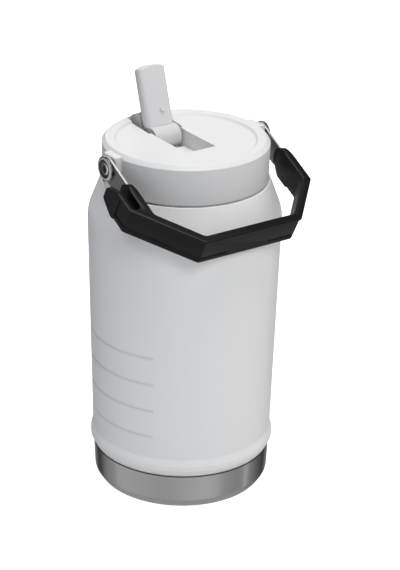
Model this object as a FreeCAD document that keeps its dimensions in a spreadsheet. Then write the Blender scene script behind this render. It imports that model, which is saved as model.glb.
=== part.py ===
import FreeCAD, Part
import math
import os
import Sketcher

# Insulated water jug: a double-wall steel vessel on a bare steel base, a screw lid with a
# flip-up spout, and a bail handle that swings on two studs in the lid.
# Millimetres.  X runs along the handle's pivot axis, the handle rests towards -Y, +Z is up.
# The origin is on the ground at the middle of the base.
# A size called inset, reach, rise or drop is counted from the piece that it fits to.

DIMENSIONS = {
    # Overall
    "body_radius": 67.2,
    "body_height": 226.2,
    # Steel base
    "base_height": 26.5,
    "body_flare": 4.3,
    "base_foot_inset": 4.7,
    "base_foot_rounding": 2.5,
    "base_knuckle_inset": 1.0,
    "base_knuckle_height": 5.6,
    "base_knuckle_rounding": 6.0,
    "base_ring_inset": 15.4,
    "base_ring_width": 3.0,
    "base_ring_depth": 0.8,
    # Vessel wall, from the foot bead up to the mouth
    "seam_inset": 0.4,
    "bead_reach": 2.1,
    "bead_rise": 6.5,
    "bead_flat": 3.4,
    "bead_rounding": 3.0,
    "wall_low_reach": 0.5,
    "wall_low_rise": 13.0,
    "shoulder_drop": 23.6,
    "shoulder_rounding": 30.0,
    "mouth_inset": 9.0,
    "mouth_lip": 0.8,
    "mouth_rounding": 0.4,
    "neck_inset": 4.2,
    "lid_seam_depth": 1.6,
    "lid_gap": 1.0,
    # Grip rings pressed into the wall, left out across a smooth front panel
    "ring_count": 4.0,
    "ring_low_rise": 29.1,
    "ring_pitch": 20.3,
    "ring_tool_radius": 1.6,
    "ring_depth": 0.5,
    "front_panel_angle": 104.0,
    # Lid
    "lid_inset": 0.8,
    "lid_draft": 0.5,
    "lid_height": 28.1,
    "lid_chamfer_width": 2.6,
    "lid_chamfer_drop": 3.0,
    "lid_chamfer_rounding": 0.8,
    "rim_width": 8.6,
    "rim_slope": 0.7,
    "rim_step_width": 1.2,
    "rim_step_height": 1.4,
    "rim_step_rounding": 0.5,
    "dish_radius": 20.0,
    "dish_depth": 3.9,
    "dish_rounding": 60.0,
    "pad_reach": 4.0,
    "pad_root": 8.0,
    "pad_half_width": 7.6,
    "pad_drop": 1.5,
    "pad_rounding": 1.4,
    "spout_slot_gap": 1.1,
    "spout_slot_front": 17.9,
    "spout_slot_depth": 15.5,
    "slot_rounding": 1.5,
    "hinge_bay_step": 2.0,
    "hinge_bay_front_inset": 3.4,
    "hinge_bay_back_gap": 4.9,
    "hinge_bay_rounding": 3.0,
    "barrel_gap": 1.2,
    "latch_nub_radius": 1.5,
    "latch_nub_reach": 0.7,
    "latch_nub_y": 12.6,
    "latch_nub_drop": 9.9,
    # Spout: hub with its barrel and thumb heel, and the mouthpiece on it
    "spout_axis_y": 28.0,
    "spout_axis_drop": 9.1,
    "spout_lean": 19.4,
    "barrel_radius": 7.9,
    "barrel_end_inset": 0.7,
    "spout_pin_radius": 2.4,
    "spout_pin_hold": 3.5,
    "spout_pin_clearance": 0.1,
    "spout_pin_end_gap": 0.3,
    "heel_side_inset": 0.5,
    "heel_top": 19.0,
    "heel_reach": 20.0,
    "heel_drop": 1.2,
    "heel_thickness": 4.6,
    "heel_rounding": 1.2,
    "heel_tip_slant": 0.6,
    "heel_root_angle": 29.4,
    "heel_root_cover": 0.65,
    "mouthpiece_half_width": 10.9,
    "mouthpiece_front": 1.7,
    "mouthpiece_root_back": 9.5,
    "mouthpiece_root_rounding": 5.0,
    "mouthpiece_tip_back": 6.4,
    "mouthpiece_tip_corner": 3.0,
    "mouthpiece_side_height": 48.2,
    "mouthpiece_crown": 2.1,
    "mouthpiece_crown_peak": 0.7,
    "mouthpiece_crown_rounding": 28.0,
    "mouthpiece_tip_rounding": 1.5,
    "vent_nub_height": 19.0,
    "vent_nub_x": 2.0,
    "vent_nub_radius": 1.8,
    "vent_nub_reach": 1.2,
    # Pivot studs
    "pivot_drop": 10.3,
    "stud_shank_radius": 3.4,
    "stud_shank_clearance": 0.1,
    "stud_shank_depth": 6.0,
    "stud_collar_radius": 5.6,
    "stud_collar_width": 0.7,
    "stud_head_radius": 8.7,
    "stud_head_thickness": 2.0,
    "stud_head_edge": 0.7,
    "stud_fine_rounding": 0.25,
    "stud_face_width": 1.4,
    "stud_face_inset": 1.3,
    "stud_ring_width": 1.1,
    "stud_ring_inset": 0.1,
    "stud_socket_radius": 2.2,
    "stud_socket_depth": 1.4,
    "bracket_play": 0.3,
    # Brackets
    "bracket_thickness": 1.4,
    "bracket_half_height": 8.0,
    "bracket_eye_flat": 0.1,
    "bracket_bore_clearance": 0.1,
    "bracket_neck": 22.9,
    "bracket_shoulder": 26.5,
    "bracket_neck_rounding": 2.0,
    "bracket_shoulder_rounding": 1.0,
    "tongue_half_height": 5.2,
    "tongue_reach": 2.9,
    # Grip, drawn level about the pivot axis, with its lengths forward from that axis
    "bail_rest_angle": 27.31,
    "grip_rise": 10.76,
    "grip_depth": 21.4,
    "grip_gap": 0.4,
    "leg_inner_wall": 1.9,
    "leg_outer_wall": 2.5,
    "yoke_tail": 12.0,
    "yoke_run": 26.9,
    "yoke_inset": 24.5,
    "yoke_outer_run": 30.4,
    "bar_thickness": 5.9,
    "bar_corner_spread": 2.6,
    "finger_run": 40.1,
    "finger_thickness": 3.9,
    "finger_slot_width": 5.8,
    "finger_slot_flat": 0.1,
    "finger_slot_run": 7.1,
    "grip_inner_rounding": 5.0,
    "grip_outer_rounding": 4.0,
    "grip_bottom_inner_rounding": 2.8,
    "grip_lip_height": 2.0,
    "grip_recess": 1.0,
    "grip_recess_back": 34.0,
    "grip_line_height": 4.6,
    "grip_line_width": 0.8,
    "grip_line_depth": 0.6,
    "grip_panel_half": 17.0,
    "plate_back": 19.4,
    "plate_top_run": 6.1,
    "plate_top_drop": 6.0,
    "plate_back_height": 5.5,
    "plate_heel_run": 2.7,
    "plate_heel_height": 5.5,
    "plate_foot_run": 12.0,
    "plate_rounding": 4.0,
    "plate_foot_rounding": 8.0,
    "plate_taper_start": 31.3,
    "plate_taper_end": 23.0,
    "plate_end_skin": 0.4,
    "finger_back": 18.4,
    "finger_top_run": 11.0,
    "finger_top_drop": 6.5,
    "finger_back_height": 9.5,
    "finger_foot_run": 12.0,
    "finger_rounding": 3.0,
    "finger_top_rounding": 8.0,
}

doc = FreeCAD.newDocument("WaterJug")
sheet = doc.addObject("Spreadsheet::Sheet", "Sizes")
for row, (word, number) in enumerate(DIMENSIONS.items(), start=1):
    sheet.set("A%d" % row, word)
    sheet.set("B%d" % row, str(number))
    sheet.setAlias("B%d" % row, word)
doc.recompute()


class Size:
    """A length that carries its number and the sheet expression that gives it."""

    def __init__(self, number, text):
        self.number = float(number)
        self.text = text

    def __add__(self, other):
        other = as_size(other)
        return Size(self.number + other.number, "(%s + %s)" % (self.text, other.text))

    def __sub__(self, other):
        other = as_size(other)
        return Size(self.number - other.number, "(%s - %s)" % (self.text, other.text))

    def __mul__(self, other):
        other = as_size(other)
        return Size(self.number * other.number, "(%s * %s)" % (self.text, other.text))

    def __truediv__(self, other):
        other = as_size(other)
        return Size(self.number / other.number, "(%s / %s)" % (self.text, other.text))

    def __rmul__(self, other):
        return as_size(other) * self

    def __radd__(self, other):
        return as_size(other) + self

    def __rsub__(self, other):
        return as_size(other) - self

    def __neg__(self):
        return self * -1.0


def as_size(value):
    return value if isinstance(value, Size) else Size(value, repr(float(value)))


def size(word):
    return Size(getattr(sheet, word), "Sizes." + word)


def bind(thing, name, value):
    thing.setExpression(name, as_size(value).text)


def new_body(label):
    body = doc.addObject("PartDesign::Body", label)
    body.Label = label
    return body


def new_sketch(body, name, role, offset=None):
    """Sketch on one of the body's own origin planes, moved along the plane's normal."""
    sketch = body.newObject("Sketcher::SketchObject", name)
    plane = next(item for item in body.Origin.OriginFeatures if item.Role == role)
    sketch.AttachmentSupport = [(plane, "")]
    sketch.MapMode = "FlatFace"
    if offset is not None:
        bind(sketch, "AttachmentOffset.Base.z", offset)
    return sketch


def pin_point(sketch, geometry, position, tag, place):
    """Tie a point to the sheet, or to an axis where its distance is nil."""
    for axis, kind, line, value in (("x", "DistanceX", -2, place[0]), ("y", "DistanceY", -1, place[1])):
        value = as_size(value)
        if value.text == "0.0":
            sketch.addConstraint(Sketcher.Constraint("PointOnObject", geometry, position, line))
            continue
        rule = Sketcher.Constraint(kind, -1, 1, geometry, position, value.number)
        index = sketch.addConstraint(rule)
        sketch.renameConstraint(index, "%s_%s" % (tag, axis))
        sketch.setExpression("Constraints.%s_%s" % (tag, axis), value.text)


def outline(sketch, tag, corners):
    """Closed outline through named corners, each (x, y) or (x, y, rounding)."""
    spots = [FreeCAD.Vector(as_size(c[0]).number, as_size(c[1]).number, 0) for c in corners]
    count = len(corners)
    starts, ends, arcs = {}, {}, {}
    for i, corner in enumerate(corners):
        starts[i] = ends[i] = spots[i]
        if len(corner) == 3:
            back = (spots[i - 1] - spots[i]).normalize()
            ahead = (spots[(i + 1) % count] - spots[i]).normalize()
            half = back.getAngle(ahead) / 2
            radius = as_size(corner[2]).number
            reach = radius / math.tan(half)
            middle = (back + ahead).normalize() * (radius / math.sin(half) - radius)
            ends[i] = spots[i] + back * reach
            starts[i] = spots[i] + ahead * reach
            arcs[i] = Part.Arc(ends[i], spots[i] + middle, starts[i])
    lines = {}
    for i in range(count):
        lines[i] = sketch.addGeometry(Part.LineSegment(starts[i], ends[(i + 1) % count]))
    for i, corner in enumerate(corners):
        name = "%s%d" % (tag, i + 1)
        before = lines[(i - 1) % count]
        if i not in arcs:
            sketch.addConstraint(Sketcher.Constraint("Coincident", before, 2, lines[i], 1))
            pin_point(sketch, lines[i], 1, name, corner)
            continue
        arc = sketch.addGeometry(arcs[i])
        first = 1 if sketch.getPoint(arc, 1).distanceToPoint(ends[i]) < 1e-6 else 2
        spot = sketch.addGeometry(Part.Point(spots[i]), True)
        sketch.addConstraint([
            Sketcher.Constraint("Tangent", before, 2, arc, first),
            Sketcher.Constraint("Tangent", arc, 3 - first, lines[i], 1),
            Sketcher.Constraint("PointOnObject", spot, 1, before),
            Sketcher.Constraint("PointOnObject", spot, 1, lines[i]),
        ])
        pin_point(sketch, spot, 1, name, corner)
        rounding = as_size(corner[2])
        index = sketch.addConstraint(Sketcher.Constraint("Radius", arc, rounding.number))
        sketch.renameConstraint(index, name + "_rounding")
        sketch.setExpression("Constraints.%s_rounding" % name, rounding.text)


def circle(sketch, tag, x, y, radius):
    x, y, radius = as_size(x), as_size(y), as_size(radius)
    centre = FreeCAD.Vector(x.number, y.number, 0)
    ring = sketch.addGeometry(Part.Circle(centre, FreeCAD.Vector(0, 0, 1), radius.number))
    pin_point(sketch, ring, 3, tag, (x, y))
    index = sketch.addConstraint(Sketcher.Constraint("Radius", ring, radius.number))
    sketch.renameConstraint(index, tag + "_radius")
    sketch.setExpression("Constraints.%s_radius" % tag, radius.text)


def revolve(body, name, sketch, axis="V_Axis"):
    turned = body.newObject("PartDesign::Revolution", name)
    turned.Profile = sketch
    turned.ReferenceAxis = (sketch, [axis])
    turned.Angle = 360.0
    doc.recompute()
    return turned


def extrude(body, name, sketch, length, cut=False, both_ways=False, reverse=False):
    """Pad or pocket of a sketch; the solid has to grow or shrink by it."""
    before = body.Shape.Volume if body.Shape and not body.Shape.isNull() else 0.0
    kind = "PartDesign::Pocket" if cut else "PartDesign::Pad"
    feature = body.newObject(kind, name)
    feature.Profile = sketch
    feature.SideType = "Symmetric" if both_ways else "One side"
    feature.Reversed = reverse
    bind(feature, "Length", length)
    doc.recompute()
    change = body.Shape.Volume - before
    if (change >= 0) == cut:
        raise RuntimeError("%s of %s changes nothing" % (name, body.Label))
    return feature


def round_edges(body, name, radius, chosen):
    """Fillet every edge of the tip that the test picks."""
    tip = body.Tip
    names = ["Edge%d" % (i + 1) for i, edge in enumerate(tip.Shape.Edges) if chosen(edge)]
    if not names:
        raise RuntimeError("%s of %s finds no edge" % (name, body.Label))
    feature = body.newObject("PartDesign::Fillet", name)
    feature.Base = (tip, names)
    bind(feature, "Radius", radius)
    doc.recompute()
    if "Invalid" in feature.State:
        raise RuntimeError("%s of %s can't be rounded" % (name, body.Label))
    return feature


def place(body, base, axis, angle):
    """Put a body that was drawn in its own frame at its place on the jug."""
    body.Placement = FreeCAD.Placement(FreeCAD.Vector(0, 0, 0), FreeCAD.Rotation(axis, 1.0))
    for letter, value in zip("xyz", base):
        bind(body, "Placement.Base." + letter, value)
    bind(body, "Placement.Rotation.Angle", angle)
    doc.recompute()

def sine(angle):
    return Size(math.sin(math.radians(angle.number)), "sin(%s * 1 deg)" % angle.text)


def cosine(angle):
    return Size(math.cos(math.radians(angle.number)), "cos(%s * 1 deg)" % angle.text)


def root(value):
    return Size(math.sqrt(value.number), "sqrt(%s)" % value.text)


X_AXIS = FreeCAD.Vector(1, 0, 0)
Z_AXIS = FreeCAD.Vector(0, 0, 1)
BEYOND = 1.0
NEAR = 0.01

# --- Places that several pieces share -----------------------------------------------------

base_top = size("base_height")
base_radius = size("body_radius") - size("body_flare")
wall_low_radius = base_radius + size("wall_low_reach")
wall_low_height = base_top + size("wall_low_rise")
shoulder_height = size("body_height") - size("shoulder_drop")
mouth_radius = size("body_radius") - size("mouth_inset")

lid_seat = size("body_height") + size("lid_gap")
lid_top = lid_seat + size("lid_height")
lid_radius = mouth_radius - size("lid_inset")
pad_face = lid_radius + size("pad_reach")
pivot_height = lid_top - size("pivot_drop")

spout_axis_height = lid_top - size("spout_axis_drop")
barrel_half_length = size("mouthpiece_half_width") - size("barrel_end_inset")
slot_half_width = size("mouthpiece_half_width") + size("spout_slot_gap")
hinge_bay_half_width = slot_half_width + size("hinge_bay_step")
spout_pin_reach = hinge_bay_half_width + size("spout_pin_hold")

bracket_inner_face = pad_face + size("stud_collar_width") + size("bracket_play")
bracket_outer_face = bracket_inner_face + size("bracket_thickness")

leg_inner = bracket_inner_face - size("leg_inner_wall")
leg_outer = bracket_outer_face + size("leg_outer_wall")
finger_inner = leg_outer + size("finger_slot_width")
finger_outer = finger_inner + size("finger_thickness")
grip_floor = size("grip_rise") - size("grip_depth")

# The rounded lower edge of the bar stops this far short of the body's flank at rest.
edge_rounding = size("grip_bottom_inner_rounding")
edge_height = grip_floor + edge_rounding
rest = size("bail_rest_angle")
edge_reach = size("body_radius") + size("grip_gap") + edge_rounding
bar_inner = (edge_reach - edge_height * sine(rest)) / cosine(rest) - edge_rounding
bar_front = bar_inner + size("bar_thickness")
bar_inner_half = leg_inner - size("yoke_inset")
bar_outer_half = bar_inner_half + size("bar_corner_spread")
yoke_inner_corner = bar_inner - size("yoke_run")
yoke_back = yoke_inner_corner - size("yoke_tail")


# --- Steel base ---------------------------------------------------------------------------

def make_steel_base():
    body = new_body("steel_base")
    sketch = new_sketch(body, "base_profile", "XZ_Plane")
    ring_middle = base_radius - size("base_ring_inset")
    ring_in = ring_middle - size("base_ring_width") / 2
    ring_out = ring_middle + size("base_ring_width") / 2
    ring_depth = size("base_ring_depth")
    outline(sketch, "p", [
        (0, 0),
        (ring_in, 0),
        (ring_in + ring_depth, ring_depth),
        (ring_out - ring_depth, ring_depth),
        (ring_out, 0),
        (base_radius - size("base_foot_inset"), 0, size("base_foot_rounding")),
        (base_radius - size("base_knuckle_inset"), size("base_knuckle_height"),
         size("base_knuckle_rounding")),
        (base_radius, base_top),
        (0, base_top),
    ])
    revolve(body, "base_turned", sketch)
    return body


# --- Vessel -------------------------------------------------------------------------------

def wall_radius(height):
    """Radius of the tapered wall at a height above its foot bead."""
    slope = (size("body_radius") - wall_low_radius) / (shoulder_height - wall_low_height)
    return wall_low_radius + slope * (height - wall_low_height)


def make_vessel():
    body = new_body("vessel")
    sketch = new_sketch(body, "vessel_profile", "XZ_Plane")
    bead_radius = base_radius + size("bead_reach")
    bead_height = base_top + size("bead_rise")
    half_flat = size("bead_flat") / 2
    bead_rounding = size("bead_rounding")
    seam_floor = size("body_height") - size("lid_seam_depth")
    lip_radius = mouth_radius - size("mouth_lip")
    neck_radius = mouth_radius - size("neck_inset")
    outline(sketch, "p", [
        (0, base_top),
        (base_radius - size("seam_inset"), base_top),
        (bead_radius, bead_height - half_flat, bead_rounding),
        (bead_radius, bead_height + half_flat, bead_rounding),
        (wall_low_radius, wall_low_height, bead_rounding),
        (size("body_radius"), shoulder_height, size("shoulder_rounding")),
        (mouth_radius, size("body_height"), size("mouth_rounding")),
        (lip_radius, size("body_height")),
        (lip_radius, seam_floor),
        (neck_radius, seam_floor),
        (neck_radius, lid_seat),
        (0, lid_seat),
    ])
    revolve(body, "vessel_turned", sketch)

    rings = new_sketch(body, "ring_tools", "YZ_Plane")
    tool = size("ring_tool_radius")
    for number in range(int(sheet.ring_count)):
        height = base_top + size("ring_low_rise") + size("ring_pitch") * number
        circle(rings, "ring%d" % (number + 1), wall_radius(height) + tool - size("ring_depth"),
               height, tool)
    before = body.Shape.Volume
    groove = body.newObject("PartDesign::Groove", "rings_turned")
    groove.Profile = rings
    groove.ReferenceAxis = (rings, ["V_Axis"])
    groove.Midplane = True
    bind(groove, "Angle", as_size(360.0) - size("front_panel_angle"))
    doc.recompute()
    if body.Shape.Volume >= before:
        raise RuntimeError("the rings cut nothing")
    return body


# --- Lid ----------------------------------------------------------------------------------

def make_lid():
    body = new_body("lid")
    sketch = new_sketch(body, "lid_profile", "XZ_Plane")
    rim_inner = lid_radius - size("rim_width")
    rim_height = lid_top - size("rim_slope")
    chamfer_rounding = size("lid_chamfer_rounding")
    step_rounding = size("rim_step_rounding")
    dish_height = lid_top - size("dish_depth")
    outline(sketch, "p", [
        (0, lid_seat),
        (lid_radius - size("lid_draft"), lid_seat, step_rounding),
        (lid_radius, lid_top - size("lid_chamfer_drop"), chamfer_rounding),
        (lid_radius - size("lid_chamfer_width"), lid_top, chamfer_rounding),
        (rim_inner, rim_height, step_rounding),
        (rim_inner - size("rim_step_width"), rim_height - size("rim_step_height"), step_rounding),
        (size("dish_radius"), dish_height, size("dish_rounding")),
        (0, dish_height),
    ])
    revolve(body, "lid_turned", sketch)

    pad_top = lid_top - size("pad_drop")
    for side, word in ((-1, "left"), (1, "right")):
        pads = new_sketch(body, "pad_plan_" + word, "XY_Plane", lid_seat)
        inner = (lid_radius - size("pad_root")) * side
        face = pad_face * side
        half = size("pad_half_width")
        outline(pads, "p", [(inner, -half), (face, -half), (face, half), (inner, half)])
        extrude(body, "pad_" + word, pads, pad_top - lid_seat)
    round_edges(body, "pad_edges", size("pad_rounding"), lambda edge: (
        min(abs(edge.BoundBox.XMin), abs(edge.BoundBox.XMax)) > pad_face.number - NEAR
        and (edge.BoundBox.ZMin > pad_top.number - NEAR or edge.BoundBox.YLength < NEAR)))

    above = lid_top + BEYOND
    slot = new_sketch(body, "spout_slot_plan", "XY_Plane", above)
    bay_front = size("spout_axis_y") - size("hinge_bay_front_inset")
    outline(slot, "p", [
        (-slot_half_width, -size("spout_slot_front"), size("slot_rounding")),
        (slot_half_width, -size("spout_slot_front"), size("slot_rounding")),
        (slot_half_width, bay_front + BEYOND),
        (-slot_half_width, bay_front + BEYOND),
    ])
    extrude(body, "spout_slot", slot, size("spout_slot_depth") + BEYOND, cut=True)

    bay = new_sketch(body, "hinge_bay_plan", "XY_Plane", above)
    well_front = size("spout_axis_y") - size("barrel_radius") - size("barrel_gap")
    bay_back = size("spout_axis_y") + size("heel_reach") + size("hinge_bay_back_gap")
    bay_rounding = size("hinge_bay_rounding")
    outline(bay, "p", [
        (-slot_half_width, well_front),
        (slot_half_width, well_front),
        (slot_half_width, bay_front),
        (hinge_bay_half_width, bay_front),
        (hinge_bay_half_width, bay_back, bay_rounding),
        (-hinge_bay_half_width, bay_back, bay_rounding),
        (-hinge_bay_half_width, bay_front),
        (-slot_half_width, bay_front),
    ])
    bay_depth = size("spout_axis_drop") + size("barrel_radius") + size("barrel_gap") + BEYOND
    extrude(body, "hinge_bay", bay, bay_depth, cut=True)

    pins = new_sketch(body, "pin_bore_plan", "YZ_Plane")
    bore = size("spout_pin_radius") + size("spout_pin_clearance")
    circle(pins, "bore", size("spout_axis_y"), spout_axis_height, bore)
    extrude(body, "pin_bores", pins, (spout_pin_reach + size("spout_pin_end_gap")) * 2,
            cut=True, both_ways=True)

    nub_height = lid_top - size("latch_nub_drop")
    for side, word in ((-1, "left"), (1, "right")):
        hole = new_sketch(body, "stud_bore_plan_" + word, "YZ_Plane", pad_face * side)
        bore = size("stud_shank_radius") + size("stud_shank_clearance")
        circle(hole, "bore", 0, pivot_height, bore)
        depth = size("stud_shank_depth") + size("stud_shank_clearance")
        extrude(body, "stud_bore_" + word, hole, depth, cut=True, reverse=side < 0)

        nub = new_sketch(body, "latch_nub_plan_" + word, "YZ_Plane", slot_half_width * side)
        circle(nub, "nub", size("latch_nub_y"), nub_height, size("latch_nub_radius"))
        extrude(body, "latch_nub_" + word, nub, size("latch_nub_reach"), reverse=side > 0)
    return body


# --- Pivot studs --------------------------------------------------------------------------

def make_stud(side, word):
    """Turned stud: shank in the lid, collar, bearing for the bracket, stepped head."""
    body = new_body("pivot_stud_" + word)
    sketch = new_sketch(body, "stud_profile", "XY_Plane")
    foot = pad_face - size("stud_shank_depth")
    shank = size("stud_shank_radius")
    collar = pad_face + size("stud_collar_width")
    head = bracket_outer_face + size("bracket_play")
    crown = head + size("stud_head_thickness")
    edge = size("stud_head_edge")
    face_out = size("stud_head_radius") - size("stud_face_inset")
    face_in = face_out - size("stud_face_width")
    ring_out = size("stud_socket_radius") + size("stud_ring_width")
    ring_face = crown - size("stud_ring_inset")
    groove_floor = crown - edge
    fine = size("stud_fine_rounding")
    outline(sketch, "p", [
        (foot, 0),
        (foot, shank),
        (pad_face, shank),
        (pad_face, size("stud_collar_radius")),
        (collar, size("stud_collar_radius")),
        (collar, shank),
        (head, shank),
        (head, size("stud_head_radius")),
        (groove_floor, size("stud_head_radius"), fine),
        (crown, face_out, fine),
        (crown, face_in, fine),
        (groove_floor, face_in - edge, fine),
        (groove_floor, ring_out + edge, fine),
        (ring_face, ring_out, fine),
        (ring_face, size("stud_socket_radius"), fine),
        (crown - size("stud_socket_depth"), size("stud_socket_radius")),
        (crown - size("stud_socket_depth"), 0),
    ])
    revolve(body, "stud_turned", sketch, "H_Axis")
    place(body, (0, 0, pivot_height), Z_AXIS, 0 if side > 0 else 180)
    return body


# --- Brackets, drawn level in the bail's own frame ----------------------------------------

def make_bracket(side, word):
    """Steel strap with a round eye for the stud and a tongue that the grip is moulded on."""
    body = new_body("bracket_" + word)
    half = size("bracket_half_height")
    eye = half - size("bracket_eye_flat")
    tongue = size("tongue_half_height")
    tip = yoke_back + size("tongue_reach")
    neck_rounding = size("bracket_neck_rounding")
    shoulder_rounding = size("bracket_shoulder_rounding")
    sketch = new_sketch(body, "bracket_outline", "YZ_Plane", bracket_inner_face * side)
    outline(sketch, "p", [
        (half, half, eye),
        (-size("bracket_neck"), half, neck_rounding),
        (-size("bracket_shoulder"), tongue, shoulder_rounding),
        (-tip, tongue),
        (-tip, -tongue),
        (-size("bracket_shoulder"), -tongue, shoulder_rounding),
        (-size("bracket_neck"), -half, neck_rounding),
        (half, -half, eye),
    ])
    circle(sketch, "bore", 0, 0, size("stud_shank_radius") + size("bracket_bore_clearance"))
    extrude(body, "bracket_plate", sketch, size("bracket_thickness"), reverse=side < 0)
    place(body, (0, 0, pivot_height), X_AXIS, size("bail_rest_angle"))
    return body


# --- Grip, drawn level in the bail's own frame --------------------------------------------

def plate_outline(front):
    """Side view of a leg plate: a nose round the strap, falling away to the yoke."""
    top = size("grip_rise")
    back = size("plate_back")
    heel = top - size("plate_top_drop") - size("plate_back_height")
    rounding = size("plate_rounding")
    return [
        (front, top),
        (-(back + size("plate_top_run")), top, rounding),
        (-back, top - size("plate_top_drop"), rounding),
        (-back, heel, rounding),
        (-(back + size("plate_heel_run")), heel - size("plate_heel_height"), rounding),
        (-(back + size("plate_foot_run")), grip_floor, size("plate_foot_rounding")),
        (front, grip_floor),
    ]


def finger_outline(front):
    """Side view of the second, outer plate of the left leg."""
    top = size("grip_rise")
    back = size("finger_back")
    heel = top - size("finger_top_drop") - size("finger_back_height")
    return [
        (front, top),
        (-(back + size("finger_top_run")), top, size("finger_top_rounding")),
        (-back, top - size("finger_top_drop"), size("finger_rounding")),
        (-back, heel, size("finger_rounding")),
        (-(back + size("finger_foot_run")), grip_floor, size("finger_top_rounding")),
        (front, grip_floor),
    ]


def facet_corners(run, spread, inset):
    """How far the two ends of a slanted facet shift when the faces move inwards: along the
    bar for the front end, and backwards for the rear end."""
    half_turn = run / (root(run * run + spread * spread) + spread)
    return inset * half_turn, inset * (1 - half_turn) / (1 + half_turn)


def outer_faces(inset):
    """Corners of the grip's outer faces moved inwards, from the right leg to the left."""
    spread = leg_outer - leg_inner + size("yoke_inset") - size("bar_corner_spread")
    left_spread = spread + size("finger_slot_width") + size("finger_thickness")
    rounding = size("grip_outer_rounding") - inset
    front_shift, rear_shift = facet_corners(size("yoke_outer_run"), spread, inset)
    left_front_shift, left_rear_shift = facet_corners(size("finger_run"), left_spread, inset)
    return [
        (leg_outer - inset, size("yoke_outer_run") - bar_front + rear_shift, rounding),
        (bar_outer_half - front_shift, inset - bar_front, rounding),
        (left_front_shift - bar_outer_half, inset - bar_front, rounding),
        (inset - finger_outer, size("finger_run") - bar_front + left_rear_shift, rounding),
    ]


def cut_outer_faces(body):
    """A recess under the grip's lip, and a fine line above its lower edge that stops at a
    plain panel on the bar."""
    top = size("grip_rise")
    rear = -size("grip_recess_back")
    ahead = -(bar_front + BEYOND)
    right = leg_outer + BEYOND
    left = -(finger_outer + BEYOND)
    recess = size("grip_recess")
    sketch = new_sketch(body, "face_recess_plan", "XY_Plane", top - size("grip_lip_height"))
    outline(sketch, "p", [(leg_outer - recess, rear)] + outer_faces(recess) + [
        (recess - finger_outer, rear),
        (left, rear),
        (left, ahead),
        (right, ahead),
        (right, rear),
    ])
    extrude(body, "face_recess", sketch, size("grip_depth"), cut=True)

    depth = recess + size("grip_line_depth")
    corners = outer_faces(depth)
    line_top = grip_floor + size("grip_line_height") + size("grip_line_width") / 2
    line = new_sketch(body, "face_line_plan", "XY_Plane", line_top)
    outline(line, "right", [
        (leg_outer - depth, rear),
        corners[0],
        corners[1],
        (size("grip_panel_half"), depth - bar_front),
        (size("grip_panel_half"), ahead),
        (right, ahead),
        (right, rear),
    ])
    outline(line, "left", [
        (-size("grip_panel_half"), depth - bar_front),
        corners[2],
        corners[3],
        (depth - finger_outer, rear),
        (left, rear),
        (left, ahead),
        (-size("grip_panel_half"), ahead),
    ])
    extrude(body, "face_line", line, size("grip_line_width"), cut=True)


def make_grip_blank():
    """Moulded bail: a faceted front bar and two leg plates, with a second outer plate and
    a finger slot on the left leg."""
    body = new_body("grip_blank")
    top = size("grip_rise")
    back = -yoke_back
    plan = new_sketch(body, "yoke_plan", "XY_Plane", top)
    inner_round = size("grip_inner_rounding")
    outer_round = size("grip_outer_rounding")
    slot_round = (size("finger_slot_width") - size("finger_slot_flat")) / 2
    slot_end = -(yoke_inner_corner - size("finger_slot_run"))
    outline(plan, "p", [
        (leg_inner, back),
        (leg_inner, -yoke_inner_corner, inner_round),
        (bar_inner_half, -bar_inner, inner_round),
        (-bar_inner_half, -bar_inner, inner_round),
        (-leg_inner, -yoke_inner_corner, inner_round),
        (-leg_inner, back),
        (-leg_outer, back),
        (-leg_outer, slot_end, slot_round),
        (-finger_inner, slot_end, slot_round),
        (-finger_inner, back),
        (-finger_outer, back),
        (-finger_outer, size("finger_run") - bar_front, outer_round),
        (-bar_outer_half, -bar_front, outer_round),
        (bar_outer_half, -bar_front, outer_round),
        (leg_outer, size("yoke_outer_run") - bar_front, outer_round),
        (leg_outer, back),
    ])
    extrude(body, "yoke", plan, size("grip_depth"), reverse=True)
    low = grip_floor.number
    bar = -bar_inner.number
    round_edges(body, "bottom_inner_edge", edge_rounding, lambda edge: (
        abs(edge.BoundBox.ZMin - low) < NEAR and abs(edge.BoundBox.ZMax - low) < NEAR
        and abs(edge.BoundBox.YMin - bar) < NEAR and abs(edge.BoundBox.YMax - bar) < NEAR))

    front = back - BEYOND
    leg_width = leg_outer - leg_inner
    for tag, start, width, side, shape in (
            ("right_plate", leg_inner, leg_width, 1, plate_outline(front)),
            ("left_plate", leg_inner, leg_width, -1, plate_outline(front)),
            ("finger", finger_inner, size("finger_thickness"), -1, finger_outline(front))):
        sketch = new_sketch(body, tag + "_side", "YZ_Plane", start * side)
        outline(sketch, "p", shape)
        extrude(body, tag, sketch, width, reverse=side < 0)

    tapers = new_sketch(body, "plate_tapers", "XY_Plane", top + BEYOND)
    start = -size("plate_taper_start")
    end = -size("plate_taper_end")
    behind = -size("plate_back") + BEYOND
    skin_in = bracket_inner_face - size("plate_end_skin")
    skin_out = bracket_outer_face + size("plate_end_skin")
    for side, word in ((-1, "left"), (1, "right")):
        for name, face, skin, beyond in (
                ("in", leg_inner, skin_in, leg_inner - BEYOND),
                ("out", leg_outer, skin_out, leg_outer + BEYOND)):
            outline(tapers, "%s_%s" % (word, name), [
                (face * side, start),
                (skin * side, end),
                (skin * side, behind),
                (beyond * side, behind),
                (beyond * side, start),
            ])
    extrude(body, "plate_ends", tapers, size("grip_depth") + 2 * BEYOND, cut=True)
    cut_outer_faces(body)
    return body


def make_grip(blank, brackets):
    """The blank less the seats of the two tongues."""
    seated = blank
    for number, bracket in enumerate(brackets):
        cut = doc.addObject("Part::Cut", "grip" if number else "grip_left_seat")
        cut.Base = seated
        cut.Tool = bracket
        seated = cut
        doc.recompute()
    seated.Label = "grip"
    return seated


# --- Spout, drawn upright in its own frame about the hinge axis ----------------------------

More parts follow.
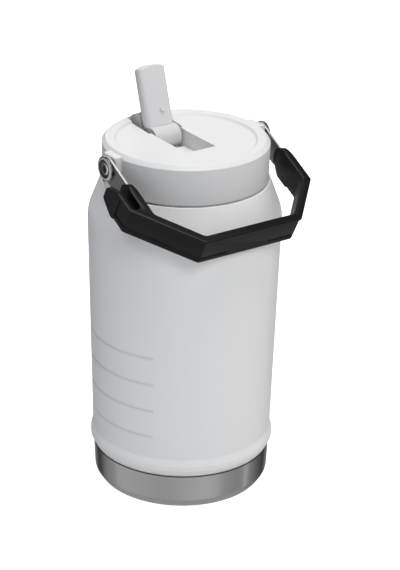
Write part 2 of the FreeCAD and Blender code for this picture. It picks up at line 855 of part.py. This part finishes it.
def place_spout(body):
    place(body, (0, size("spout_axis_y"), spout_axis_height), X_AXIS, -size("spout_lean"))


def make_spout_hub():
    """Barrel with its two pins, a seat for the mouthpiece, and the thumb heel behind it."""
    body = new_body("spout_hub")
    barrel = new_sketch(body, "barrel_circle", "YZ_Plane")
    seat = size("barrel_radius")
    circle(barrel, "barrel", 0, 0, seat)
    extrude(body, "barrel", barrel, barrel_half_length * 2, both_ways=True)
    heel = new_sketch(body, "heel_side", "YZ_Plane")
    back = size("mouthpiece_root_back")
    tip = size("heel_reach")
    tip_top = size("heel_top") - size("heel_drop")
    tip_foot = tip_top - size("heel_thickness")
    root_radius = seat - size("heel_root_cover")
    outline(heel, "p", [
        (0, 0),
        (0, seat),
        (back, seat),
        (back, size("heel_top")),
        (tip, tip_top, size("heel_rounding")),
        (tip - size("heel_tip_slant"), tip_foot, size("heel_rounding")),
        (root_radius * cosine(size("heel_root_angle")),
         -(root_radius * sine(size("heel_root_angle")))),
    ])
    heel_half = size("mouthpiece_half_width") - size("heel_side_inset")
    extrude(body, "heel", heel, heel_half * 2, both_ways=True)
    pins = new_sketch(body, "pin_circle", "YZ_Plane")
    circle(pins, "pin", 0, 0, size("spout_pin_radius"))
    extrude(body, "pins", pins, spout_pin_reach * 2, both_ways=True)
    place_spout(body)
    return body


def make_mouthpiece():
    """Drinking spout: a flattened tube, rounder at its root, with a crowned tip."""
    body = new_body("mouthpiece")
    root = size("barrel_radius")
    half = size("mouthpiece_half_width")
    front = -size("mouthpiece_front")
    tip = size("mouthpiece_side_height") + size("mouthpiece_crown")
    sections = []
    for word, height, back, rounding in (
            ("root", root, size("mouthpiece_root_back"), size("mouthpiece_root_rounding")),
            ("tip", tip, size("mouthpiece_tip_back"), size("mouthpiece_tip_corner"))):
        sketch = new_sketch(body, "mouthpiece_" + word, "XY_Plane", height)
        outline(sketch, "p", [
            (-half, front, rounding),
            (half, front, rounding),
            (half, back, rounding),
            (-half, back, rounding),
        ])
        sections.append(sketch)
    tube = body.newObject("PartDesign::AdditiveLoft", "mouthpiece_tube")
    tube.Profile = sections[0]
    tube.Sections = [sections[1]]
    tube.Ruled = True
    doc.recompute()

    crown = new_sketch(body, "crown_front", "XZ_Plane", -(size("mouthpiece_root_back") + BEYOND))
    crown_foot = size("mouthpiece_side_height")
    outline(crown, "p", [
        (-(half + BEYOND), crown_foot),
        (0, tip + size("mouthpiece_crown_peak"), size("mouthpiece_crown_rounding")),
        (half + BEYOND, crown_foot),
        (half + BEYOND, tip + BEYOND),
        (-(half + BEYOND), tip + BEYOND),
    ])
    reach = size("mouthpiece_root_back") + size("mouthpiece_front") + 2 * BEYOND
    extrude(body, "crown", crown, reach, cut=True, reverse=True)
    high = crown_foot.number - 2 * BEYOND
    round_edges(body, "tip_edges", size("mouthpiece_tip_rounding"), lambda edge: (
        edge.BoundBox.ZMin > high and edge.BoundBox.ZLength < 5 * BEYOND))

    nub = new_sketch(body, "vent_nub_circle", "XZ_Plane", size("mouthpiece_front"))
    circle(nub, "nub", size("vent_nub_x"), size("vent_nub_height"), size("vent_nub_radius"))
    extrude(body, "vent_nub", nub, size("vent_nub_reach"))
    place_spout(body)
    return body


steel_base = make_steel_base()
vessel = make_vessel()
lid = make_lid()
studs = [make_stud(-1, "left"), make_stud(1, "right")]
brackets = [make_bracket(-1, "left"), make_bracket(1, "right")]
grip_blank = make_grip_blank()
place(grip_blank, (0, 0, pivot_height), X_AXIS, size("bail_rest_angle"))
grip = make_grip(grip_blank, brackets)
spout_hub = make_spout_hub()
mouthpiece = make_mouthpiece()

pieces = [steel_base, vessel, lid] + studs + brackets + [grip, spout_hub, mouthpiece]
doc.recompute()
for item in doc.Objects:
    if "Invalid" in item.State or "Error" in item.State:
        raise RuntimeError("%s failed: %s" % (item.Label, item.State))
for piece in pieces:
    if piece.Shape.isNull() or not piece.Shape.isValid():
        raise RuntimeError("%s has no valid shape" % piece.Label)
    if len(piece.Shape.Solids) != 1:
        raise RuntimeError("%s is %d solids" % (piece.Label, len(piece.Shape.Solids)))

os.makedirs("parts", exist_ok=True)
for piece in pieces:
    piece.Shape.exportStep(os.path.join("parts", piece.Label + ".step"))
    box = piece.Shape.BoundBox
    print("%-18s %9.0f mm3  x %6.1f %6.1f  y %6.1f %6.1f  z %6.1f %6.1f" % (
        piece.Label, piece.Shape.Volume, box.XMin, box.XMax, box.YMin, box.YMax, box.ZMin, box.ZMax))
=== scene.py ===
import math
import bmesh
import bpy
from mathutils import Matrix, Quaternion, Vector


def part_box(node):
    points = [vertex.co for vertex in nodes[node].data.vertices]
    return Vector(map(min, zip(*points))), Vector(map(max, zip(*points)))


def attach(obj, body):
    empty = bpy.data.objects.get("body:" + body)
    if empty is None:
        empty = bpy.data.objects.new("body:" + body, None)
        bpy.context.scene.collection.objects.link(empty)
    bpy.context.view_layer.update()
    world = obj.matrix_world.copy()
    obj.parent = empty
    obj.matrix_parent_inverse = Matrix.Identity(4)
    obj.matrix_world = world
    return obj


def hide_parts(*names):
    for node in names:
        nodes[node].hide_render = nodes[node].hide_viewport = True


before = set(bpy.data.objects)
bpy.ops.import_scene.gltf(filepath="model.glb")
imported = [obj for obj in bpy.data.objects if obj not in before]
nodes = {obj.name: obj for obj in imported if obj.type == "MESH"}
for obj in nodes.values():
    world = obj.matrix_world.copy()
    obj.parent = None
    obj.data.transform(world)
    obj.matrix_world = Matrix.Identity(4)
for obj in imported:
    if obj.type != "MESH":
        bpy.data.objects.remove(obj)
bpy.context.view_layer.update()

# --- Camera -----------------------------------------------------------------------------
# A long lens a metre and a half away, a little above the jug and to the left of the side
# where the handle rests.
view_side = math.radians(34.75)
view_rise = math.radians(24.58)
view_roll = math.radians(1.19)
view_distance = 1.4976
view_lens = 135.0
view_aim = Vector((0.0104, -0.0051, 0.1438))
view_front = (-math.sin(view_side), -math.cos(view_side), 0.0)
view_right = (math.cos(view_side), -math.sin(view_side), 0.0)
jug_middle = Vector((0.0, 0.0, 0.140))

camera_data = bpy.data.cameras.new("camera")
camera_data.lens = view_lens
camera = bpy.data.objects.new("camera", camera_data)
bpy.context.scene.collection.objects.link(camera)
towards_camera = Vector(view_front) * math.cos(view_rise) + Vector((0, 0, math.sin(view_rise)))
camera.location = jug_middle + towards_camera * view_distance
look = (view_aim - camera.location).to_track_quat("-Z", "Y")
camera.rotation_mode = "QUATERNION"
camera.rotation_quaternion = look @ Quaternion((0, 0, 1), view_roll)
bpy.context.scene.camera = camera

# --- Table ------------------------------------------------------------------------------
# A wide white table that shines towards the eye, so that it has no horizon and shows no
# hard shadow.  Nothing mirrors it.
table_size = 12.0
table_white = (0.80, 0.80, 0.80)
table_shine = 0.84
pure_white = (1, 1, 1, 1)


def plain_shader(name, colour, roughness=0.4, metallic=0.0):
    """A node material with one principled shader, and its tree and shader."""
    material = bpy.data.materials.new(name)
    material.use_nodes = True
    tree = material.node_tree
    shader = tree.nodes["Principled BSDF"]
    shader.inputs["Base Color"].default_value = (*colour, 1)
    shader.inputs["Roughness"].default_value = roughness
    shader.inputs["Metallic"].default_value = metallic
    return material, tree, shader


def add_node(tree, kind, feeds, **settings):
    """Add a node with its settings; each feed is a fixed value or another node's output."""
    node = tree.nodes.new("ShaderNode" + kind)
    for setting, value in settings.items():
        setattr(node, setting, value)
    for place, value in feeds.items():
        if isinstance(value, bpy.types.NodeSocket):
            tree.links.new(value, node.inputs[place])
        else:
            node.inputs[place].default_value = value
    return node


def worked_out(tree, operation, *values):
    """A number worked out from others."""
    return add_node(tree, "Math", dict(enumerate(values)), operation=operation).outputs[0]


bpy.context.scene.view_settings.view_transform = "Standard"
bpy.ops.object.select_all(action="DESELECT")
bpy.ops.mesh.primitive_plane_add(size=table_size, location=(0, 0, 0))
table = bpy.context.object
table.name = "table"
table.visible_glossy = False
table_paint, table_tree, table_shader = plain_shader("table_paint", table_white, roughness=0.9)
table_shader.inputs["Specular IOR Level"].default_value = 0.0
table_shader.inputs["Emission Color"].default_value = pure_white
table_seen = add_node(table_tree, "LightPath", {}).outputs["Is Camera Ray"]
table_glow = worked_out(table_tree, "MULTIPLY", table_seen, table_shine)
table_tree.links.new(table_glow, table_shader.inputs["Emission Strength"])
table.data.materials.append(table_paint)

# --- Room -------------------------------------------------------------------------------
# A white room with soft even light.  Glossy surfaces mirror a ring of grey studio walls in
# it, that fades overhead and gives way to a grey floor below.  Each band of the walls has
# its place in degrees, from the camera's side round to the right, and its grey.
room_white = (0.98, 0.99, 1.0, 1)
room_strength = 0.235
overhead_low = 0.05
overhead_high = 0.45
overhead_share = 0.40
floor_high = -0.50
floor_low = -0.85
floor_strength = 0.42
wall_bands = [
    (-180, 0.34), (-162, 0.26), (-146, 0.05), (-136, 0.03), (-118, 0.28),
    (-101, 0.36), (-94, 0.54), (-77, 0.55), (-20, 0.47), (34, 0.66),
    (50, 0.60), (62, 0.40), (86, 0.31), (93, 0.34), (99, 0.66),
    (106, 0.30), (122, 0.14), (144, 0.03), (160, 0.24), (178, 0.34)]

world = bpy.data.worlds.new("studio")
bpy.context.scene.world = world
world.use_nodes = True
room = world.node_tree
room.nodes.clear()
ray_way = add_node(room, "TexCoord", {}).outputs["Generated"]
ray_kind = add_node(room, "LightPath", {}).outputs


def vector_worked_out(tree, operation, *values):
    """The node that works out a vector, or a number from vectors."""
    return add_node(tree, "VectorMath", dict(enumerate(values)), operation=operation)


def ray_along(direction):
    """How far a ray points along a direction, from -1 to 1."""
    return vector_worked_out(room, "DOT_PRODUCT", ray_way, direction).outputs["Value"]


def shining(colour, strength):
    """A part of the room that gives light."""
    return add_node(room, "Background", {"Color": colour, "Strength": strength}).outputs[0]


def either(which, first, second):
    """One light where the switch is 0 and another where it is 1."""
    return add_node(room, "MixShader", {0: which, 1: first, 2: second}).outputs[0]


def ranged(tree, value, low, high, first, second):
    """A number that goes from the first to the second as the value goes from low to high."""
    feeds = {"Value": value, "From Min": low, "From Max": high, "To Min": first, "To Max": second}
    return add_node(tree, "MapRange", feeds).outputs["Result"]


def banded(tree, value, bands):
    """A grey that changes along the value; each band is a place from 0 to 1 and its grey."""
    ramp = add_node(tree, "ValToRGB", {0: value})
    stops = ramp.color_ramp.elements
    while len(stops) < len(bands):
        stops.new(0.5)
    for stop, (place, grey) in zip(stops, bands):
        stop.position = place
        stop.color = (grey, grey, grey, 1)
    return ramp.outputs["Color"]


ray_turn = worked_out(room, "ARCTAN2", ray_along(view_right), ray_along(view_front))
ray_round = worked_out(room, "MULTIPLY_ADD", ray_turn, 0.5 / math.pi, 0.5)
wall_places = [(0.5 + degrees / 360, grey) for degrees, grey in wall_bands]
wall_grey = banded(room, ray_round, wall_places)
ray_height = ray_along((0, 0, 1))
walls_above = ranged(room, ray_height, overhead_low, overhead_high, 1.0, overhead_share)
walls_below = ranged(room, ray_height, floor_high, floor_low, 1.0, 0.0)
floor_below = ranged(room, ray_height, floor_high, floor_low, 0.0, floor_strength)
wall_light = shining(wall_grey, worked_out(room, "MULTIPLY", walls_above, walls_below))
floor_light = shining(pure_white, floor_below)
mirrored = add_node(room, "AddShader", {0: wall_light, 1: floor_light}).outputs[0]
unseen = either(ray_kind["Is Glossy Ray"], shining(room_white, room_strength), mirrored)
all_light = either(ray_kind["Is Camera Ray"], unseen, shining(pure_white, 1.0))
add_node(room, "OutputWorld", {"Surface": all_light})

# --- Lights -----------------------------------------------------------------------------
# Large softboxes out of sight round the jug: one overhead, a key light in front and above,
# which lays the handle's soft shadow on the body, and weaker fills all round.


def softbox(name, place, width, height, watts, colour=(1, 1, 1)):
    """A rectangular light that faces the jug."""
    data = bpy.data.lights.new(name, "AREA")
    data.shape = "RECTANGLE"
    data.size = width
    data.size_y = height
    data.energy = watts
    data.color = colour
    light = bpy.data.objects.new(name, data)
    light.location = place
    light.rotation_mode = "QUATERNION"
    light.rotation_quaternion = (jug_middle - Vector(place)).to_track_quat("-Z", "Y")
    light.visible_camera = False
    bpy.context.scene.collection.objects.link(light)


softbox("top_light", place=(0.0, -0.1, 1.9), width=1.1, height=1.1, watts=20.0)
softbox("key_light", place=(-0.25, -1.25, 1.35), width=0.6, height=0.6, watts=9.0)
softbox("front_light", place=(0.1, -1.9, 0.5), width=1.4, height=1.2, watts=0.9)
softbox("side_light", place=(1.6, -0.6, 0.9), width=1.0, height=1.4, watts=4.6)
softbox("back_light", place=(0.5, 1.7, 0.8), width=1.4, height=1.2, watts=4.5)
softbox("left_light", place=(-1.7, -0.4, 0.7), width=1.0, height=1.2, watts=1.3, colour=(0.42, 0.62, 1.0))

# --- Steel base -------------------------------------------------------------------------
# The bare end of the outer steel shell, brushed round and round on a lathe, so its fine
# lines run level.  A narrow band of painted shadow along its top stands for the shadow in
# the seam where the powder coat ends above it.
steel_grey = (0.585, 0.58, 0.575)
seam_shadow_dark = (0.12, 0.12, 0.12)
seam_shadow_start = 0.0012
seam_shadow_full = 0.0006
level_lines = (0.02, 0.02, 1.0)
grain_low = 0.3
grain_high = 0.7


def fine_grain(tree, scale, stretch=(1, 1, 1)):
    """Noise in the piece's own metres, stretched along its axes."""
    place = add_node(tree, "TexCoord", {}).outputs["Object"]
    stretched = add_node(tree, "Mapping", {"Vector": place, "Scale": stretch}).outputs["Vector"]
    feeds = {"Vector": stretched, "Scale": scale, "Detail": 3.0}
    return add_node(tree, "TexNoise", feeds).outputs["Fac"]


def uneven_gloss(tree, shader, grain, low, high):
    """Let the roughness follow the grain, which mostly keeps between its low and high."""
    roughness = ranged(tree, grain, grain_low, grain_high, low, high)
    tree.links.new(roughness, shader.inputs["Roughness"])


def relief(tree, shader, grain, depth, strength=0.5):
    """Fine relief of the given depth in metres under the finish."""
    bump = add_node(tree, "Bump", {"Height": grain, "Distance": depth, "Strength": strength})
    tree.links.new(bump.outputs["Normal"], shader.inputs["Normal"])


def painted_light_mix(tree, shader, share, first, second):
    """Colour the surface with the first colour where the share is 0, the second where it is 1.  Here it
    paints light and shade.
    """
    feeds = {"Factor": share, "A": (*first, 1), "B": (*second, 1)}
    tone = add_node(tree, "Mix", feeds, data_type="RGBA")
    tree.links.new(tone.outputs["Result"], shader.inputs["Base Color"])


def dress(node, material):
    """Give a piece of the frame its finish."""
    mesh = nodes[node].data
    mesh.materials.clear()
    mesh.materials.append(material)


steel, steel_tree, steel_shader = plain_shader("brushed_base_steel", steel_grey, metallic=1.0)
steel_lines = fine_grain(steel_tree, scale=2600.0, stretch=level_lines)
uneven_gloss(steel_tree, steel_shader, steel_lines, low=0.13, high=0.21)
relief(steel_tree, steel_shader, steel_lines, depth=0.00001)
steel_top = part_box("steel_base")[1].z
steel_place = add_node(steel_tree, "TexCoord", {}).outputs["Object"]
steel_height = add_node(steel_tree, "SeparateXYZ", {0: steel_place}).outputs["Z"]
# Painted shadow: the steel turns dark grey in a narrow band just under its top edge.
steel_seam_shadow = ranged(steel_tree, steel_height, steel_top - seam_shadow_start, steel_top - seam_shadow_full, 0.0, 1.0)
painted_light_mix(steel_tree, steel_shader, steel_seam_shadow, steel_grey, seam_shadow_dark)
dress("steel_base", steel)

# --- Vessel -----------------------------------------------------------------------------
# The deep-drawn steel body under a satin powder coat, with a faint orange peel.  Its four
# rolled grooves are darkened inside with painted shade, which fades out towards their ends
# beside the plain front.
coat_white = (0.845, 0.845, 0.845)
painted_shade_dark = (0.01, 0.01, 0.01)
groove_end = math.radians(52.0)
groove_fade = math.radians(9.0)


def shaded_corners(tree, shader, colour, reach, depth, least_light=0.0):
    """Darken the colour in grooves, seams and inner corners, where little light gets in."""
    shade = add_node(tree, "AmbientOcclusion", {"Distance": reach}, samples=8, only_local=True)
    light = worked_out(tree, "POWER", shade.outputs["AO"], depth)
    painted_light_mix(tree, shader, worked_out(tree, "MAXIMUM", light, least_light), painted_shade_dark, colour)


coat, coat_tree, coat_shader = plain_shader("white_powder_coat", coat_white)
coat_shader.inputs["Specular IOR Level"].default_value = 0.42
coat_peel = fine_grain(coat_tree, scale=900.0)
uneven_gloss(coat_tree, coat_shader, coat_peel, low=0.38, high=0.46)
relief(coat_tree, coat_shader, coat_peel, depth=0.00004)
coat_place = add_node(coat_tree, "TexCoord", {}).outputs["Object"]
coat_sides = add_node(coat_tree, "SeparateXYZ", {0: coat_place}).outputs
coat_aside = worked_out(coat_tree, "ABSOLUTE", coat_sides["X"])
coat_ahead = worked_out(coat_tree, "MULTIPLY", coat_sides["Y"], -1.0)
coat_turn = worked_out(coat_tree, "ARCTAN2", coat_aside, coat_ahead)
groove_shade_off = ranged(coat_tree, coat_turn, groove_end, groove_end + groove_fade, 1.0, 0.0)
# Painted shade in the grooves and seams, left out near the groove ends beside the plain front.
shaded_corners(coat_tree, coat_shader, coat_white, reach=0.002, depth=1.6, least_light=groove_shade_off)
dress("vessel", coat)

# --- Lid --------------------------------------------------------------------------------
# An injection-moulded screw lid in white polypropylene with a fine satin grain.  Its slot
# and seams are darkened a little with painted shade.
lid_white = (0.735, 0.735, 0.735)

shell, shell_tree, shell_shader = plain_shader("white_lid_plastic", lid_white)
shell_shader.inputs["Specular IOR Level"].default_value = 0.35
shell_grain = fine_grain(shell_tree, scale=2200.0)
uneven_gloss(shell_tree, shell_shader, shell_grain, low=0.36, high=0.46)
relief(shell_tree, shell_shader, shell_grain, depth=0.00002)
# Painted shade in the slot, seams and inner corners.
shaded_corners(shell_tree, shell_shader, lid_white, reach=0.003, depth=0.35)
dress("lid", shell)

# --- Spout hub and mouthpiece -----------------------------------------------------------
# The hub that turns in the lid's slot is a hard white plastic.  The mouthpiece moulded on
# to it is softer and duller.
hub_white = (0.60, 0.60, 0.60)
mouth_white = (0.64, 0.64, 0.645)

hub, hub_tree, hub_shader = plain_shader("spout_hub_plastic", hub_white, roughness=0.42)
relief(hub_tree, hub_shader, fine_grain(hub_tree, scale=2200.0), depth=0.00002)
# Painted shade in the hub's seams and inner corners.
shaded_corners(hub_tree, hub_shader, hub_white, reach=0.003, depth=0.8)
dress("spout_hub", hub)

mouth, mouth_tree, mouth_shader = plain_shader("soft_spout_plastic", mouth_white, roughness=0.46)
relief(mouth_tree, mouth_shader, fine_grain(mouth_tree, scale=1800.0), depth=0.00002)
dress("mouthpiece", mouth)

# --- Pivot studs ------------------------------------------------------------------------
# Turned steel screws that the bail hangs on.  Each head's colour is painted in rings:
# painted shade in the socket in the middle, painted highlights on a ring round it and on
# the rim, and painted dark reflections between.  Each ring has its share of the head's
# radius and its grey.
stud_grey = (0.36, 0.36, 0.37)
stud_glint_rings = [
    (0.0, 0.01), (0.13, 0.01), (0.17, 0.30), (0.36, 0.16), (0.40, 0.95), (0.46, 0.95),
    (0.50, 0.10), (0.72, 0.08), (0.76, 0.95), (0.90, 0.95), (0.93, 0.25), (1.0, 0.45)]

stud_low, stud_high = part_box("pivot_stud_left")
stud_radius = (stud_high.z - stud_low.z) / 2
stud_centre = (0, 0, (stud_low.z + stud_high.z) / 2)
across_stud = (0, 1 / stud_radius, 1 / stud_radius)
stud_steel, stud_tree, stud_shader = plain_shader("polished_stud_steel", stud_grey, metallic=1.0)
uneven_gloss(stud_tree, stud_shader, fine_grain(stud_tree, scale=1500.0), low=0.12, high=0.22)
stud_place = add_node(stud_tree, "TexCoord", {}).outputs["Object"]
stud_off = vector_worked_out(stud_tree, "SUBTRACT", stud_place, stud_centre).outputs["Vector"]
stud_flat = vector_worked_out(stud_tree, "MULTIPLY", stud_off, across_stud).outputs["Vector"]
stud_out = vector_worked_out(stud_tree, "LENGTH", stud_flat).outputs["Value"]
# The rings' greys are painted highlights and painted shade, not different metals.
stud_tree.links.new(banded(stud_tree, stud_out, stud_glint_rings), stud_shader.inputs["Base Color"])
for stud in ("pivot_stud_left", "pivot_stud_right"):
    dress(stud, stud_steel)

# --- Brackets ---------------------------------------------------------------------------
# Flat stainless straps, brushed along their length.  Their flat sides are dark, and their
# edges carry a painted highlight: a light grey that is less metallic, so that it catches
# the light all round.
strap_edge_highlight = (0.85, 0.85, 0.85)
strap_side = (0.30, 0.30, 0.31)
edge_highlight_metal = 0.4
long_lines = (1.0, 0.05, 1.0)

strap, strap_tree, strap_shader = plain_shader("bracket_steel", strap_side, roughness=0.30, metallic=1.0)
strap_facing = add_node(strap_tree, "TexCoord", {}).outputs["Normal"]
strap_sideways = add_node(strap_tree, "SeparateXYZ", {0: strap_facing}).outputs["X"]
strap_flat = worked_out(strap_tree, "ABSOLUTE", strap_sideways)
# Painted highlight: the edges are lighter and less metallic than the flat sides.
strap_metal = worked_out(strap_tree, "MULTIPLY_ADD", strap_flat, 1.0 - edge_highlight_metal, edge_highlight_metal)
strap_tree.links.new(strap_metal, strap_shader.inputs["Metallic"])
painted_light_mix(strap_tree, strap_shader, strap_flat, strap_edge_highlight, strap_side)
relief(strap_tree, strap_shader, fine_grain(strap_tree, scale=2400.0, stretch=long_lines), depth=0.00002)
for bracket in ("bracket_left", "bracket_right"):
    dress(bracket, strap)

# --- Grip -------------------------------------------------------------------------------
# Black glass-filled nylon moulded on to the brackets.  Its sharp outer edges are rounded,
# except round the channels that hold the brackets, and its mould was eroded to a fine matt.
nylon_black = (0.0038, 0.0042, 0.0048)
grip_edge = 0.0007
edge_share = 0.4
sharp_turn = math.radians(24)
channel_margin = 0.0005
channel_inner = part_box("bracket_right")[0].x - channel_margin
channel_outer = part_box("bracket_right")[1].x + channel_margin


def grip_rounding(edge):
    """The radius an outer edge of the grip is rounded to: less where a face beside it is narrow."""
    in_channel = all(channel_inner < abs(corner.co.x) < channel_outer for corner in edge.verts)
    if len(edge.link_faces) != 2 or not edge.is_convex or in_channel:
        return 0.0
    if edge.calc_face_angle() < sharp_turn:
        return 0.0
    start = edge.verts[0].co
    along = (edge.verts[1].co - start).normalized()
    widths = []
    for face in edge.link_faces:
        widths.append(max((corner.co - start).cross(along).length for corner in face.verts))
    return min(grip_edge, edge_share * min(widths))


grip = bpy.data.objects.new("grip_moulding", nodes["grip"].data.copy())
bpy.context.scene.collection.objects.link(grip)
bpy.ops.object.select_all(action="DESELECT")
bpy.context.view_layer.objects.active = grip
grip.select_set(True)
bpy.ops.object.mode_set(mode="EDIT")
bpy.ops.mesh.select_all(action="SELECT")
bpy.ops.mesh.remove_doubles(threshold=0.00001)
bpy.ops.mesh.dissolve_limited(angle_limit=math.radians(0.6))
bpy.ops.object.mode_set(mode="OBJECT")
grip_form = bmesh.new()
grip_form.from_mesh(grip.data)
grip_weight = grip_form.edges.layers.float.new("bevel_weight_edge")
for edge in grip_form.edges:
    edge[grip_weight] = grip_rounding(edge) / grip_edge
grip_form.to_mesh(grip.data)
grip_form.free()
grip_bevel = grip.modifiers.new("rounded_edges", "BEVEL")
grip_bevel.limit_method = "WEIGHT"
grip_bevel.width = grip_edge
grip_bevel.segments = 3
grip_bevel.use_clamp_overlap = False
bpy.ops.object.modifier_apply(modifier="rounded_edges")
bpy.ops.object.shade_smooth_by_angle(angle=math.radians(32))

nylon, nylon_tree, nylon_shader = plain_shader("black_grip_nylon", nylon_black)
nylon_shader.inputs["Specular IOR Level"].default_value = 0.27
nylon_grain = fine_grain(nylon_tree, scale=2600.0)
uneven_gloss(nylon_tree, nylon_shader, nylon_grain, low=0.30, high=0.42)
relief(nylon_tree, nylon_shader, nylon_grain, depth=0.00003, strength=0.6)
grip.data.materials.clear()
grip.data.materials.append(nylon)
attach(grip, "handle")
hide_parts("grip")
